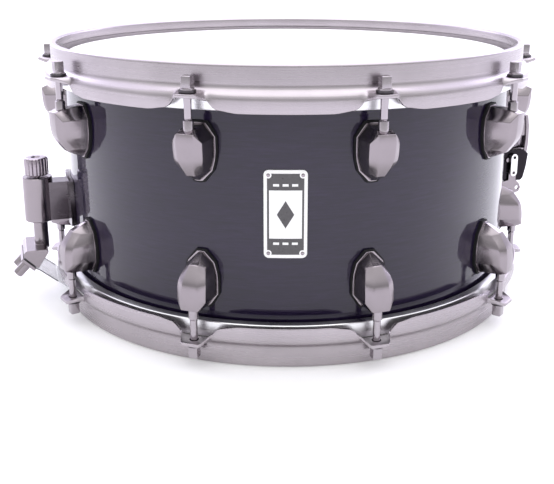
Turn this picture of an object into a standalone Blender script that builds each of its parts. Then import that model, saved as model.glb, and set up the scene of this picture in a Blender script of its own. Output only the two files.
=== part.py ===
"""Snare drum, 14 x 7 inch: wooden shell, two triple-flanged hoops, ten lugs a side,
a throw-off strainer with a flip lever and an adjustable snare butt.

Frame: Z up, origin on the drum's axis at the height of the lower hoop's rim.
Angles run around the axis from the front (-Y), positive towards +X.
Lengths below are in millimetres and degrees; make_object() turns them into metres.
"""
import bpy
import bmesh
import math
from mathutils import Matrix, Vector

MM = 0.001

# Driving dimensions
TOTAL_HEIGHT = 199.0
SHELL_RADIUS = 176.5
SHELL_WALL = 6.0
SHELL_BOTTOM = 10.5
SHELL_TOP = TOTAL_HEIGHT - SHELL_BOTTOM
EDGE_PEAK_RADIUS = 172.6
SNARE_BED_DEPTH = 1.6
SNARE_BED_HALF_ANGLE = 15.0
VENT_RADIUS = 6.0

FILM_GAP = 0.3
FILM_THICKNESS = 0.5
FLESH_INNER_RADIUS = 178.4
FLESH_OUTER_RADIUS = 184.3
FLESH_TOP = 181.0
FLESH_BOTTOM = 169.8

HOOP_SHEET = 2.3
HOOP_INNER_RADIUS = 180.5
HOOP_WALL_RADIUS = 185.0
HOOP_SKIRT_RADIUS = 190.5
HOOP_SKIRT_EDGE = 29.5
HOOP_EAR_RADIUS = 200.9
HOOP_EAR_DEPTH = 17.0
EAR_HOLE_RADIUS = 3.2
GATE_HALF_WIDTH = 23.0
GATE_HEIGHT = 12.5

LUG_COUNT = 10
LUG_FIRST_ANGLE = 18.0
LUG_PITCH = 360.0 / LUG_COUNT
ROD_CIRCLE_RADIUS = 193.0
ROD_RADIUS = 2.5
ROD_END = 138.0
ROD_HEAD_TOP = 192.5
KEY_SQUARE = 6.35

STRAINER_ANGLE = 108.0
BUTT_ANGLE = STRAINER_ANGLE - 180.0
LEVER_PIVOT = (206.0, 83.5)
LINK_TOP = (211.0, 86.0)
LINK_BOTTOM = (211.0, 72.0)
BUTT_AXIS_RADIUS = 201.5
BUTT_CLAMP_SHIFT = (4.0, 3.7)
STRAND_COUNT = 20
STRAND_PITCH = 2.05
STRAND_Z = 8.5
SNARE_HINGE_RADIUS = 178.0
STRAP_HALF_WIDTH = 19.0

BADGE_WIDTH = 27.6
BADGE_HEIGHT = 58.5
BADGE_Z = 103.0


def make_material(name, colour, roughness, metallic):
    material = bpy.data.materials.new(name)
    material.use_nodes = True
    shader = material.node_tree.nodes["Principled BSDF"]
    shader.inputs["Base Color"].default_value = (*colour, 1.0)
    shader.inputs["Roughness"].default_value = roughness
    shader.inputs["Metallic"].default_value = metallic
    return material


def make_object(name, verts, faces, material=None, smooth_angle=30.0):
    """An object from millimetre points, with every face turned to point out."""
    mesh = bpy.data.meshes.new(name)
    mesh.from_pydata([Vector(v) * MM for v in verts], [], faces)
    bm = bmesh.new()
    bm.from_mesh(mesh)
    bmesh.ops.remove_doubles(bm, verts=bm.verts, dist=1e-7)
    bmesh.ops.recalc_face_normals(bm, faces=bm.faces)
    bm.to_mesh(mesh)
    bm.free()
    if smooth_angle:
        mesh.shade_smooth()
        mesh.set_sharp_from_angle(angle=math.radians(smooth_angle))
    obj = bpy.data.objects.new(name, mesh)
    bpy.context.collection.objects.link(obj)
    if material:
        mesh.materials.append(material)
    return obj


def drop(obj):
    mesh = obj.data
    bpy.data.objects.remove(obj)
    bpy.data.meshes.remove(mesh)


def combine(target, tools, operation="UNION"):
    """Apply exact booleans with each tool in turn, then remove the tools."""
    for tool in tools:
        modifier = target.modifiers.new("combine", "BOOLEAN")
        modifier.operation = operation
        modifier.solver = "EXACT"
        modifier.object = tool
    depsgraph = bpy.context.evaluated_depsgraph_get()
    result = bpy.data.meshes.new_from_object(target.evaluated_get(depsgraph))
    target.modifiers.clear()
    old = target.data
    materials = [slot for slot in old.materials]
    target.data = result
    bpy.data.meshes.remove(old)
    for tool in tools:
        drop(tool)
    bm = bmesh.new()
    bm.from_mesh(result)
    bmesh.ops.remove_doubles(bm, verts=bm.verts, dist=2e-6)
    bmesh.ops.dissolve_degenerate(bm, edges=bm.edges, dist=2e-6)
    bmesh.ops.triangulate(bm, faces=[f for f in bm.faces if len(f.verts) > 4])
    bm.to_mesh(result)
    bm.free()
    result.materials.clear()
    for material in materials:
        result.materials.append(material)
    result.shade_smooth()
    result.set_sharp_from_angle(angle=math.radians(30.0))
    return target


def turn_to(obj, angle, flip=False):
    """Place an object drawn with +X outward at its angle round the drum."""
    obj.rotation_euler = (math.pi if flip else 0.0, 0.0, math.radians(angle - 90.0))
    if flip:
        obj.location.z = TOTAL_HEIGHT * MM
    return obj


def around(angle, radius, z=0.0, side=0.0):
    """Point at a radius and angle, moved sideways along the tangent."""
    a = math.radians(angle)
    x = radius * math.sin(a) + side * math.cos(a)
    y = -radius * math.cos(a) + side * math.sin(a)
    return (x, y, z)


def turned(name, profile_at, angles, material):
    """A closed (radius, z) outline swept once round the drum's axis."""
    verts, faces, columns = [], [], []
    for angle in angles:
        column = []
        for i, (radius, z) in enumerate(profile_at(angle)):
            if radius == 0.0 and columns:
                column.append(columns[0][i])
                continue
            column.append(len(verts))
            verts.append(around(angle, radius, z))
        columns.append(column)
    for i, column in enumerate(columns):
        after = columns[(i + 1) % len(columns)]
        for j in range(len(column)):
            k = (j + 1) % len(column)
            quad = []
            for v in (column[j], column[k], after[k], after[j]):
                if v not in quad:
                    quad.append(v)
            if len(quad) > 2:
                faces.append(quad)
    return make_object(name, verts, faces, material)


def stacked(name, rings, material=None):
    """A solid through rings of points, closed by its first and last ring."""
    count = len(rings[0])
    verts = [p for ring in rings for p in ring]
    faces = [list(range(count)), list(range(len(verts) - count, len(verts)))]
    for r in range(len(rings) - 1):
        for j in range(count):
            k = (j + 1) % count
            a, b = r * count, (r + 1) * count
            faces.append([a + j, a + k, b + k, b + j])
    return make_object(name, verts, faces, material)


def block(name, x, y, z, material=None):
    corners = [(x[0], y[0]), (x[1], y[0]), (x[1], y[1]), (x[0], y[1])]
    return stacked(name, [[(a, b, h) for a, b in corners] for h in z], material)


def plate(name, outline, y0, y1, material=None):
    """An (x, z) outline extruded sideways from y0 to y1."""
    return stacked(name, [[(x, y, z) for x, z in outline] for y in (y0, y1)], material)


def rod(name, centre, axis, profile, sides, material=None, twist=0.0):
    """Rings of (distance along the axis, radius) stacked from a centre point."""
    direction = Vector(axis).normalized()
    turn = direction.to_track_quat("Z", "X").to_matrix()
    rings = []
    for along, radius in profile:
        ring = []
        for i in range(sides):
            a = 2 * math.pi * (i + 0.5) / sides + twist
            local = Vector((radius * math.cos(a), radius * math.sin(a), along))
            ring.append(tuple(Vector(centre) + turn @ local))
        rings.append(ring)
    return stacked(name, rings, material)


def curved_plate(name, inner, outer, outline, material=None):
    """A plate wrapped on the shell; outline lists (half angle or side, low z, high z)."""
    rings = []
    for side, low, high in outline:
        a = side / inner
        rings.append([(r * math.cos(a), r * math.sin(a), z)
                      for r, z in ((inner, low), (outer, low), (outer, high), (inner, high))])
    return stacked(name, rings, material)


def rounded_columns(half_width, half_height, corner, z, steps=3, middle=3):
    """Columns (side, low z, high z) of a plate with rounded corners."""
    columns = []
    for i in range(steps + 1):
        a = math.pi / 2 * i / steps
        side = -half_width + corner * (1 - math.cos(a))
        rise = half_height - corner * (1 - math.sin(a))
        columns.append((side, z - rise, z + rise))
    flat = half_width - corner
    for i in range(1, middle):
        columns.append((-flat + 2 * flat * i / middle, z - half_height, z + half_height))
    columns += [(-s, lo, hi) for s, lo, hi in reversed(columns[:steps + 1])]
    return columns


def path_strip(name, path, thickness, y0, y1, material=None):
    """A bent strip: an (x, z) centre line with thickness, extruded sideways."""
    upper, lower = [], []
    for i, point in enumerate(path):
        before = Vector(path[max(i - 1, 0)])
        after = Vector(path[min(i + 1, len(path) - 1)])
        along = (after - before).normalized()
        normal = Vector((-along.y, along.x)) * thickness / 2
        upper.append(tuple(Vector(point) + normal))
        lower.append(tuple(Vector(point) - normal))
    return plate(name, upper + lower[::-1], y0, y1, material)


def smoothstep(t):
    t = max(0.0, min(1.0, t))
    return t * t * (3 - 2 * t)


def upright(z, bottom):
    """Mirror a height between the batter side and the snare side."""
    return TOTAL_HEIGHT - z if bottom else z


# Shell -------------------------------------------------------------------------------

def shell_profile(angle):
    bed = 0.0
    for centre in (BUTT_ANGLE, STRAINER_ANGLE):
        away = abs((angle - centre + 180.0) % 360.0 - 180.0)
        bed = max(bed, SNARE_BED_DEPTH * smoothstep(1 - away / SNARE_BED_HALF_ANGLE))
    inner = SHELL_RADIUS - SHELL_WALL
    drop_in = EDGE_PEAK_RADIUS - inner
    drop_out = SHELL_RADIUS - EDGE_PEAK_RADIUS
    return [
        (inner, SHELL_TOP - drop_in),
        (EDGE_PEAK_RADIUS, SHELL_TOP),
        (SHELL_RADIUS, SHELL_TOP - drop_out),
        (SHELL_RADIUS, SHELL_BOTTOM + drop_out),
        (EDGE_PEAK_RADIUS, SHELL_BOTTOM + bed),
        (inner, SHELL_BOTTOM + drop_in + bed * 0.5),
    ]


def build_shell(material):
    angles = [i * 6.0 for i in range(60)]
    shell = turned("shell", shell_profile, angles, material)
    vent = rod("vent_cutter", (0, SHELL_RADIUS - SHELL_WALL - 2, TOTAL_HEIGHT / 2), (0, 1, 0),
               [(0, VENT_RADIUS), (SHELL_WALL + 4, VENT_RADIUS)], 16)
    return combine(shell, [vent], "DIFFERENCE")


# Heads -------------------------------------------------------------------------------

def build_head(name, bottom, material):
    angles = [i * 6.0 for i in range(60)]
    low = SHELL_TOP + FILM_GAP
    high = low + FILM_THICKNESS
    outline = [
        (0.0, high), (EDGE_PEAK_RADIUS + 0.5, high), (SHELL_RADIUS + 1.4, low - 3.6),
        (180.95, FLESH_TOP + 0.1), (181.3, FLESH_BOTTOM + 4.0), (180.8, FLESH_BOTTOM + 4.0),
        (180.4, FLESH_TOP - 0.1), (SHELL_RADIUS + 0.9, low - 3.9), (EDGE_PEAK_RADIUS + 0.3, low),
        (0.0, low),
    ]
    return turned(name, lambda a: [(r, upright(z, bottom)) for r, z in outline], angles, material)


def build_flesh_hoop(name, bottom, material):
    angles = [i * 6.0 for i in range(60)]
    outline = [
        (FLESH_INNER_RADIUS, FLESH_BOTTOM), (FLESH_OUTER_RADIUS, FLESH_BOTTOM),
        (FLESH_OUTER_RADIUS, FLESH_TOP), (182.6, FLESH_TOP), (182.0, FLESH_BOTTOM + 2.5),
        (180.1, FLESH_BOTTOM + 2.5), (179.7, FLESH_TOP - 1.2), (FLESH_INNER_RADIUS, FLESH_TOP - 1.2),
    ]
    return turned(name, lambda a: [(r, upright(z, bottom)) for r, z in outline], angles, material)


# Hoops -------------------------------------------------------------------------------

def ear_shape(angle):
    """(lift of the skirt's edge, reach of the tab) near a lug, each from 0 to 1."""
    away = abs((angle - LUG_FIRST_ANGLE + LUG_PITCH / 2) % LUG_PITCH - LUG_PITCH / 2)
    return smoothstep((5.2 - away) / 3.5), smoothstep((3.6 - away) / 2.1)


def hoop_profile(angle):
    """(radius, depth from the rim) of the rolled sheet; the skirt arches up into flat ears."""
    lift, tab = ear_shape(angle)
    root = Vector((HOOP_WALL_RADIUS, 14.6))
    knee = Vector((HOOP_SKIRT_RADIUS - 2.4 * lift, 19.0 - 2.0 * lift))
    edge = Vector((HOOP_SKIRT_RADIUS + (HOOP_EAR_RADIUS - HOOP_SKIRT_RADIUS) * tab,
                   HOOP_SKIRT_EDGE + (HOOP_EAR_DEPTH - HOOP_SKIRT_EDGE) * lift))
    slope, out = (knee - root).normalized(), (edge - knee).normalized()
    wall_side = Vector((-1.0, 0.0))
    slope_side = Vector((-slope.y, slope.x))
    out_side = Vector((-out.y, out.x))

    def mitre(point, a, b):
        return point + (a + b) / (1 + a.dot(b)) * HOOP_SHEET

    return [
        (HOOP_INNER_RADIUS, 8.0), (HOOP_INNER_RADIUS, 1.4), (HOOP_INNER_RADIUS + 1.3, 0.0),
        (HOOP_WALL_RADIUS - 1.4, 0.0), (HOOP_WALL_RADIUS, 1.5), tuple(root), tuple(knee),
        tuple(edge), tuple(edge + out_side * HOOP_SHEET), tuple(mitre(knee, slope_side, out_side)),
        tuple(mitre(root, wall_side, slope_side)), (HOOP_WALL_RADIUS - HOOP_SHEET, 8.0),
    ]


def build_hoop(name, bottom, material):
    offsets = (-18.0, -11.2, -5.2, -4.2, -3.2, -2.4, -1.5, 1.5, 2.4, 3.2, 4.2, 5.2, 11.2)
    angles = []
    for i in range(LUG_COUNT):
        angles += [LUG_FIRST_ANGLE + i * LUG_PITCH + o for o in offsets]
    hoop = turned(
        name,
        lambda a: [(r, d if bottom else TOTAL_HEIGHT - d) for r, d in hoop_profile(a)],
        angles, material)
    cutters = []
    for i in range(LUG_COUNT):
        x, y, _ = around(LUG_FIRST_ANGLE + i * LUG_PITCH, ROD_CIRCLE_RADIUS)
        z = HOOP_EAR_DEPTH - 3 if bottom else TOTAL_HEIGHT - HOOP_EAR_DEPTH - 6
        cutters.append(rod("ear_cutter", (x, y, z), (0, 0, 1),
                           [(0, EAR_HOLE_RADIUS), (9, EAR_HOLE_RADIUS)], 8))
    if bottom:
        for angle in (BUTT_ANGLE, STRAINER_ANGLE):
            gate = block("gate_cutter", (174, 188), (-GATE_HALF_WIDTH, GATE_HALF_WIDTH),
                         (-3, GATE_HEIGHT))
            cutters.append(turn_to(gate, angle))
    bpy.context.view_layer.update()
    return combine(hoop, cutters, "DIFFERENCE")


# Lugs and tension rods ----------------------------------------------------------------

def build_lug_mesh():
    """One lug for the batter side, drawn with +X outward at its true radius and height."""
    sections = [
        ((4.8, 160.8), (5.2, 194.5, 158.8), (5.8, 199.6, 157.4)),
        ((11.2, 152.2), (10.0, 196.0, 151.8), (5.9, 199.6, 150.5)),
        ((11.3, 143.0), (9.9, 195.3, 143.0), (5.3, 199.0, 143.0)),
        ((10.8, 137.5), (9.2, 193.6, 137.5), (4.6, 197.2, 137.5)),
        ((9.0, 130.6), (6.9, 186.8, 130.4), (3.0, 191.2, 129.0)),
        ((1.6, 123.8), (1.4, 180.6, 124.0), (1.0, 180.9, 124.2)),
    ]
    rings = []
    for (base, base_z), (side, side_x, side_z), (front, front_x, front_z) in sections:
        half = [(SHELL_RADIUS + 0.4, base, base_z), (side_x, side, side_z), (front_x, front, front_z)]
        rings.append(half + [(x, -y, z) for x, y, z in reversed(half)])
    lug = stacked("lug", rings)
    sleeve = rod("lug_sleeve", (ROD_CIRCLE_RADIUS, 0, 150), (0, 0, 1),
                 [(0, 3.6), (15.0, 3.6)], 8)
    combine(lug, [sleeve])
    bore = rod("lug_bore", (ROD_CIRCLE_RADIUS, 0, ROD_END - 1.5), (0, 0, 1),
               [(0, 2.95), (30, 2.95)], 8)
    combine(lug, [bore], "DIFFERENCE")
    mesh = lug.data
    bpy.data.objects.remove(lug)
    return mesh


def build_rod_mesh():
    """Key rod about its own axis, height measured from the lug's top: head up."""
    seat = TOTAL_HEIGHT - HOOP_EAR_DEPTH + 0.3
    profile = [(ROD_END, ROD_RADIUS), (seat, ROD_RADIUS), (seat, 5.2), (seat + 1.4, 5.2),
               (seat + 2.6, 4.6)]
    shaft = rod("rod", (0, 0, 0), (0, 0, 1), profile, 8)
    half = KEY_SQUARE / 2
    top = ROD_HEAD_TOP
    rings = []
    for z, h in ((seat + 1.0, half), (top, half)):
        rings.append([(h, h, z), (-h, h, z), (-h, -h, z), (h, -h, z)])
    head = stacked("rod_head", rings)
    combine(shaft, [head])
    mesh = shaft.data
    bpy.data.objects.remove(shaft)
    return mesh


def build_lugs_and_rods(lug_material, rod_material):
    lug_mesh, rod_mesh = build_lug_mesh(), build_rod_mesh()
    lug_mesh.materials.append(lug_material)
    rod_mesh.materials.append(rod_material)
    for side, flip in (("top", False), ("bottom", True)):
        for i in range(LUG_COUNT):
            angle = LUG_FIRST_ANGLE + i * LUG_PITCH
            lug = bpy.data.objects.new("lug_%s_%02d" % (side, i + 1), lug_mesh)
            bpy.context.collection.objects.link(lug)
            turn_to(lug, angle, flip)
            key_rod = bpy.data.objects.new("tension_rod_%s_%02d" % (side, i + 1), rod_mesh)
            bpy.context.collection.objects.link(key_rod)
            turn_to(key_rod, angle, flip)
            x, y, _ = around(angle, ROD_CIRCLE_RADIUS)
            key_rod.location.x, key_rod.location.y = x * MM, y * MM


# Snare clamps, butt and strainer --------------------------------------------------------
# Drawn with +X outward, +Y along the tangent and true heights, then turned to their angle.

FACE_START = Vector((202.6, 25.4))
FACE_ALONG = Vector((1.0, 1.0)).normalized()
FACE_OUT = Vector((1.0, -1.0)).normalized()
CLAMP_HALF_WIDTH = 18.0
SCREW_SIDE = 10.5


def on_face(along, out):
    return tuple(FACE_START + FACE_ALONG * along + FACE_OUT * out)


def clamp_foot(name, tapped=True, top=49.0):
    """Wedge that the strap turns round, with two tapped holes in its lower face."""
    outline = [(193.6, min(38.0, top - 2.4)), (201.4, 25.4), on_face(0.0, 0.0), on_face(13.4, 0.0),
               (212.1, top - 2.4), (209.8, top), (194.8, top), (193.6, top - 1.2)]
    foot = plate(name, outline, -CLAMP_HALF_WIDTH, CLAMP_HALF_WIDTH)
    if not tapped:
        return foot
    holes = []
    for side in (-SCREW_SIDE, SCREW_SIDE):
        x, z = on_face(6.7, 2.0)
        holes.append(rod("screw_hole", (x, side, z), (-1, 0, 1), [(0, 2.4), (10.5, 2.4)], 8))
    return combine(foot, holes, "DIFFERENCE")


def clamp_plate(name, material=None, length=12.6):
    """Clamp plate and its two square-headed screws."""
    outline = [on_face(0.2, 1.1), on_face(13.2, 1.1), on_face(13.2, 3.5), on_face(0.2, 3.5)]
    piece = plate(name, outline, -CLAMP_HALF_WIDTH, CLAMP_HALF_WIDTH, material)
    parts = []
    for side in (-SCREW_SIDE, SCREW_SIDE):
        x, z = on_face(6.7, -7.0)
        parts.append(rod("screw", (x, side, z), (1, 0, -1),
                         [(0, 2.0), (10.4, 2.0), (10.4, 4.2), (11.6, 4.2), (11.6, 3.9),
                          (11.7 + length - 0.6, 3.9), (11.7 + length, 3.3)], 8))
    return combine(piece, parts)


def clamp_strap(name, material, shift=(0.0, 0.0)):
    """The outer run of the snare strap, from the hoop's gate up under the clamp plate."""
    over, up = shift
    path = [(201.4, 24.15), (202.5, 24.6), on_face(0.6, 0.55), on_face(12.6, 0.55)]
    path = [(191.9, 16.8)] + [(x + over, z + up) for x, z in path]
    strap = path_strip(name, path, 0.5, -STRAP_HALF_WIDTH, STRAP_HALF_WIDTH, material)
    holes = []
    for side in (-SCREW_SIDE, SCREW_SIDE):
        x, z = on_face(6.7, -1.5)
        holes.append(rod("strap_hole", (x + over, side, z + up), (1, 0, -1), [(0, 2.4), (4, 2.4)], 8))
    return combine(strap, holes, "DIFFERENCE")


def build_butt(metal, knurled, strap):
    axis = BUTT_AXIS_RADIUS
    over, up = BUTT_CLAMP_SHIFT
    bracket = curved_plate("butt_bracket", 176.85, 180.0, rounded_columns(21, 18.5, 4, 78.5, 2, 3), metal)
    arm = block("arm", (179.0, 194.0), (-8, 8), (63.5, 93.5))
    barrel = rod("barrel", (axis, 0, 62.9), (0, 0, 1),
                 [(0, 10.9), (0.5, 11.3), (34.1, 11.3), (34.6, 10.9)], 20)
    combine(bracket, [arm, barrel])
    bore = rod("bore", (axis, 0, 60), (0, 0, 1),
               [(0, 6.0), (34.5, 6.0), (34.5, 2.8), (40, 2.8)], 16)
    combine(bracket, [bore], "DIFFERENCE")

    knob = rod("butt_knob", (axis, 0, 70.0), (0, 0, 1),
               [(0, 2.2), (28.6, 2.2), (28.6, 7.8), (29.4, 9.0), (41.6, 9.0), (42.6, 8.0)], 20, knurled)

    piston = clamp_foot("butt_piston", top=39.5)
    piston.data.materials.append(metal)
    clamp = clamp_plate("butt_clamp", metal, 10.2)
    for piece in (piston, clamp):
        piece.data.transform(Matrix.Translation(Vector((over, 0.0, up)) * MM))
    shaft = rod("shaft", (axis, 0, 40), (0, 0, 1), [(0, 5.5), (48, 5.5)], 16)
    combine(piston, [shaft])
    thread = rod("thread", (axis, 0, 65.5), (0, 0, 1), [(0, 2.7), (24, 2.7)], 10)
    combine(piston, [thread], "DIFFERENCE")

    outer = clamp_strap("strap_butt", strap, BUTT_CLAMP_SHIFT)
    for piece in (bracket, knob, piston, clamp, outer):
        turn_to(piece, BUTT_ANGLE)


def round_bar(name, start, end, radius, y0, y1, steps=6):
    """A flat bar with round ends between two (x, z) points."""
    a, b = Vector(start), Vector(end)
    heading = math.atan2(b.y - a.y, b.x - a.x)
    outline = []
    for centre, turn in ((b, heading - math.pi / 2), (a, heading + math.pi / 2)):
        for i in range(steps + 1):
            t = turn + math.pi * i / steps
            outline.append((centre.x + radius * math.cos(t), centre.y + radius * math.sin(t)))
    return plate(name, outline, y0, y1)


def build_strainer(metal, dark, knurled, strap):
    px, pz = LEVER_PIVOT
    body = curved_plate("strainer_body", 176.85, 180.0,
                        rounded_columns(20, 35, 4, 93, 2, 3), dark)
    parts = [block("core", (179.0, 203.0), (-6, 6), (70, 122)),
             round_bar("core_nose", (200.0, pz), LEVER_PIVOT, 5.2, -6, 6),
             block("tongue", (193.0, 197.0), (-4, 4), (52, 71))]
    wall = [(178.6, 66.0), (205.0, 64.0), (221.0, 63.6), (223.2, 66.0), (225.6, 76.0),
            (227.0, 88.0), (222.0, 92.0), (178.6, 92.0)]
    for y0, y1 in ((-11.7, -9.9), (9.9, 11.7)):
        parts.append(plate("wall", wall, y0, y1))
    combine(body, parts)
    bore = rod("pivot_bore", (px, -14, pz), (0, 1, 0), [(0, 2.4), (28, 2.4)], 10)
    combine(body, [bore], "DIFFERENCE")

    handle = [(223.6, 86.4), (226.6, 86.0), (227.7, 95.0), (227.9, 101.0), (227.4, 113.0),
              (225.9, 122.4), (224.4, 123.2), (223.4, 122.2), (224.6, 112.0), (224.9, 101.0)]
    lever = plate("strainer_lever", handle, -9.4, 9.4, metal)
    arm = [(201.4, 80.6), (206.4, 78.2), (218.0, 80.0), (226.4, 86.2), (226.9, 92.8),
           (214.0, 92.8), (204.0, 89.0)]
    parts = [block("grip", (212.5, 225.6), (-8, 8), (104.2, 118.0))]
    for y0, y1 in ((-8.7, -6.4), (6.4, 8.7)):
        parts.append(plate("arm", arm, y0, y1))
    parts.append(rod("pivot_pin", (px, -13.0, pz), (0, 1, 0), [(0, 2.0), (26.0, 2.0)], 10))
    combine(lever, parts)
    hole = rod("knob_hole", (217.6, 0, 100), (0, 0, 1), [(0, 2.1), (13, 2.1)], 10)
    combine(lever, [hole], "DIFFERENCE")

    knob = rod("strainer_knob", (217.6, 0, 93.2), (0, 0, 1),
               [(0, 4.3), (0.6, 4.9), (9.9, 4.9), (10.5, 4.3), (10.5, 1.7), (18.5, 1.7)], 16, knurled)

    link = round_bar("strainer_link", LINK_BOTTOM, LINK_TOP, 3.3, -15.6, -14.0)
    link.data.materials.append(metal)
    holes = [rod("hole", (p[0], -17, p[1]), (0, 1, 0), [(0, 1.4), (5, 1.4)], 8)
             for p in (LINK_BOTTOM, LINK_TOP)]
    combine(link, holes, "DIFFERENCE")

    carriage = clamp_foot("strainer_carriage", tapped=False)
    carriage.data.materials.append(metal)
    tab = [(195.0, 53.0), (214.0, 52.4), (218.6, 53.8), (220.3, 57.4), (218.6, 61.0), (214.6, 65.0),
           (214.6, 74.0), (213.0, 75.6), (209.0, 75.6), (207.4, 74.0), (207.2, 65.0), (195.0, 62.6)]
    parts = [block("neck", (198.6, 204.0), (-9, 9), (48, 54)),
             block("slide", (189.6, 204.0), (-13.7, 9), (53, 62.6)),
             plate("tab", tab, -13.7, -12.1),
             clamp_plate("clamp", None, 9.0)]
    combine(carriage, parts)
    slots = [block("slot", (192.6, 197.4), (-4.4, 4.4), (51, 66)),
             rod("ear_hole", (216.4, -16, 57.4), (0, 1, 0), [(0, 1.9), (6, 1.9)], 10)]
    combine(carriage, slots, "DIFFERENCE")

    outer = clamp_strap("strap_strainer", strap)
    for piece in (body, lever, knob, link, carriage, outer):
        turn_to(piece, STRAINER_ANGLE)


def build_snares(material):
    """Twenty strands under the lower head, their end plates and the straps' inner runs."""
    half = STRAND_PITCH * (STRAND_COUNT - 1) / 2
    ends = []
    for sign in (-1, 1):
        run = [(152.0, 8.25), (160.0, 8.1), (172.5, 8.3), (179.5, 9.2), (185.4, 11.7), (191.5, 16.4)]
        path = [(sign * x, z) for x, z in run]
        ends.append(path_strip("end_strap", path, 0.5, -STRAP_HALF_WIDTH, STRAP_HALF_WIDTH))
        lo, hi = sorted((sign * 148.0, sign * 160.0))
        ends.append(block("end_plate", (lo, hi), (-half - 1.4, half + 1.4), (7.9, 8.9)))
    snares = block("snare_wires", (-149.5, 149.5), (-half - 0.8, -half + 0.8),
                   (STRAND_Z - 0.8, STRAND_Z + 0.8), material)
    strands = []
    for i in range(1, STRAND_COUNT):
        y = -half + i * STRAND_PITCH
        strands.append(block("strand", (-149.5, 149.5), (y - 0.8, y + 0.8),
                             (STRAND_Z - 0.8, STRAND_Z + 0.8)))
    combine(snares, ends + strands)
    return turn_to(snares, STRAINER_ANGLE)


def set_origin(name, angle, radius, z):
    """Move an object's origin onto its joint without moving its shape."""
    obj = bpy.data.objects[name]
    bpy.context.view_layer.update()
    point = Vector(around(angle, radius, z)) * MM
    local = obj.matrix_world.inverted() @ point
    obj.data.transform(Matrix.Translation(-local))
    obj.location = point


def build():
    for old in list(bpy.data.objects):
        bpy.data.objects.remove(old)
    lacquer = make_material("shell_lacquer", (0.075, 0.066, 0.085), 0.18, 0.0)
    nickel = make_material("black_nickel", (0.48, 0.44, 0.47), 0.28, 1.0)
    dark = make_material("dark_nickel", (0.12, 0.11, 0.12), 0.35, 1.0)
    knurled = make_material("knurled_nickel", (0.42, 0.39, 0.42), 0.35, 1.0)
    steel = make_material("rod_steel", (0.55, 0.52, 0.56), 0.25, 1.0)
    aluminium = make_material("hoop_aluminium", (0.72, 0.72, 0.74), 0.35, 1.0)
    coated = make_material("coated_film", (0.92, 0.92, 0.90), 0.75, 0.0)
    clear = make_material("clear_film", (0.86, 0.88, 0.90), 0.20, 0.0)
    wires = make_material("snare_steel", (0.70, 0.70, 0.70), 0.30, 1.0)
    strap = make_material("strap_plastic", (0.85, 0.86, 0.88), 0.30, 0.0)
    plate_paint = make_material("badge_plate", (0.20, 0.19, 0.22), 0.35, 0.2)

    build_shell(lacquer)
    build_head("batter_head", False, coated)
    build_head("snare_side_head", True, clear)
    build_flesh_hoop("batter_flesh_hoop", False, aluminium)
    build_flesh_hoop("snare_side_flesh_hoop", True, aluminium)
    build_hoop("batter_hoop", False, nickel)
    build_hoop("snare_side_hoop", True, nickel)
    build_lugs_and_rods(nickel, steel)
    build_butt(nickel, knurled, strap)
    build_strainer(nickel, dark, knurled, strap)
    build_snares(wires)
    badge = curved_plate("badge", 176.9, 178.0, rounded_columns(
        BADGE_WIDTH / 2, BADGE_HEIGHT / 2, 3.0, BADGE_Z, 3, 4), plate_paint)
    turn_to(badge, 0.0)

    set_origin("strainer_lever", STRAINER_ANGLE, *LEVER_PIVOT)
    set_origin("strainer_link", STRAINER_ANGLE, *LINK_BOTTOM)
    set_origin("strainer_knob", STRAINER_ANGLE, 217.6, 93.2)
    set_origin("butt_knob", BUTT_ANGLE, BUTT_AXIS_RADIUS, 98.6)
    set_origin("snare_wires", BUTT_ANGLE, SNARE_HINGE_RADIUS, STRAND_Z)


build()
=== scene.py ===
"""Looks of the snare drum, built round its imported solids."""
import bpy
import bmesh
import math
from mathutils import Matrix, Vector


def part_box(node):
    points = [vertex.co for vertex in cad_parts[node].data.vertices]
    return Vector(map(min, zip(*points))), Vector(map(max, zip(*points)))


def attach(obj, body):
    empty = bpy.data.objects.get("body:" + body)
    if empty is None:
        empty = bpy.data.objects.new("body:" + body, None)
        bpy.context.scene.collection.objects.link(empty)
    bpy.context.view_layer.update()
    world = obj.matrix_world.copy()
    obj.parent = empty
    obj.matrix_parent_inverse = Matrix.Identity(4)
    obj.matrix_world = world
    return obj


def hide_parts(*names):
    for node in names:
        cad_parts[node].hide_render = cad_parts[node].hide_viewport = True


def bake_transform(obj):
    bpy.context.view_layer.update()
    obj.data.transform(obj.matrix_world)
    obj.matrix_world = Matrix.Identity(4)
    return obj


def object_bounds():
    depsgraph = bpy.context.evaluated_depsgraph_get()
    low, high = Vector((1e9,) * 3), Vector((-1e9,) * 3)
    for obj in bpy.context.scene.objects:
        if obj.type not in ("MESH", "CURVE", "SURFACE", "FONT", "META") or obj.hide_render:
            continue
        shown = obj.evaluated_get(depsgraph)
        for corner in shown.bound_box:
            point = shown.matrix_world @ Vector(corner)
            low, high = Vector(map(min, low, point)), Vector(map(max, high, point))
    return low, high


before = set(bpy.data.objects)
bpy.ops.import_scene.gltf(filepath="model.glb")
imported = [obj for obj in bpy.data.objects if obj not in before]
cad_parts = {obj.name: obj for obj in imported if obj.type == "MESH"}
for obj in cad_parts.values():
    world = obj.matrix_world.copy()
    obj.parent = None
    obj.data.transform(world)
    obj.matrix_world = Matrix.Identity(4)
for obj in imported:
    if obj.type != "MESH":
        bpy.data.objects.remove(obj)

CAD_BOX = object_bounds()
MM = 0.001

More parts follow.
